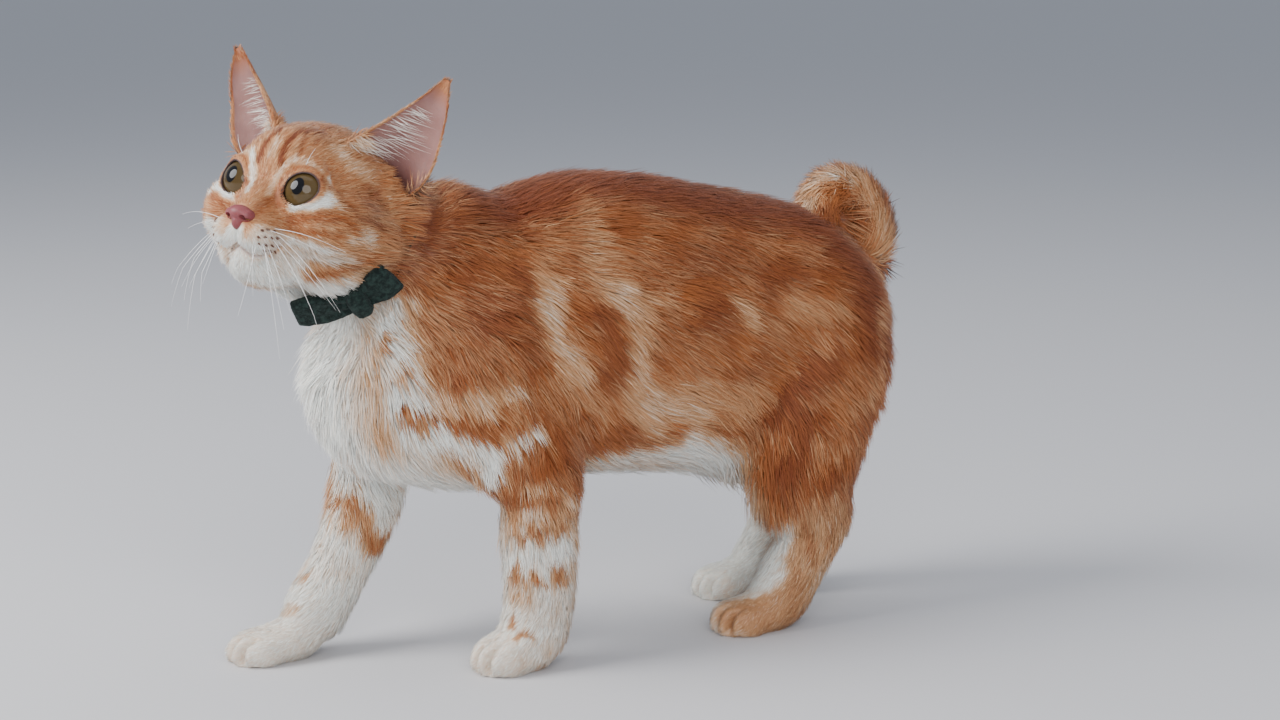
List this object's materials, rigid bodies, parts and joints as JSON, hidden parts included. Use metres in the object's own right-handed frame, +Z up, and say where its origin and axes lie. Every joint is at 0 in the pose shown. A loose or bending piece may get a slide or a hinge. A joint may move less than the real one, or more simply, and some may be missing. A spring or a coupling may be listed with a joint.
{
  "type": "standing young American Bobtail cat with a bow-tie collar",
  "caption": "Young red tabby-and-white bobtail cat, standing in mid-step with its head turned to its left, in a dark green collar with a bow tie.",
  "frame": {"origin": "on the floor, under the middle of the whole cat's box", "axes": "+X from the head to the tail, the cat's left side to -Y, +Z up"},
  "size_m": [0.3818, 0.1182, 0.2954],
  "materials": {
    "coat_red": "soft plush coat, rust red with tabby bands",
    "coat_cream": "soft short coat, cream white",
    "ear": "thin skin, short hair, pink inside",
    "eye": "moist, glossy, olive gold iris",
    "nose_leather": "moist fine-grained pink skin",
    "collar_cloth": "woven band, dark green",
    "bow_cloth": "mottled dark green wool cloth"
  },
  "bodies": {
    "root": {"head": "coat_red", "ear_left": "ear", "ear_right": "ear", "eye_left": "eye", "eye_right": "eye", "nose": "nose_leather", "neck": "coat_red", "torso": "coat_red", "foreleg_left": "coat_cream", "foreleg_right": "coat_cream", "forepaw_left": "coat_cream", "forepaw_right": "coat_cream", "hindleg_left": "coat_red", "hindleg_right": "coat_red", "hindpaw_left": "coat_cream", "hindpaw_right": "coat_cream", "tail": "coat_red", "collar": "collar_cloth", "bow_knot": "bow_cloth", "bow_left": "bow_cloth", "bow_right": "bow_cloth"}
  },
  "joints": []
}
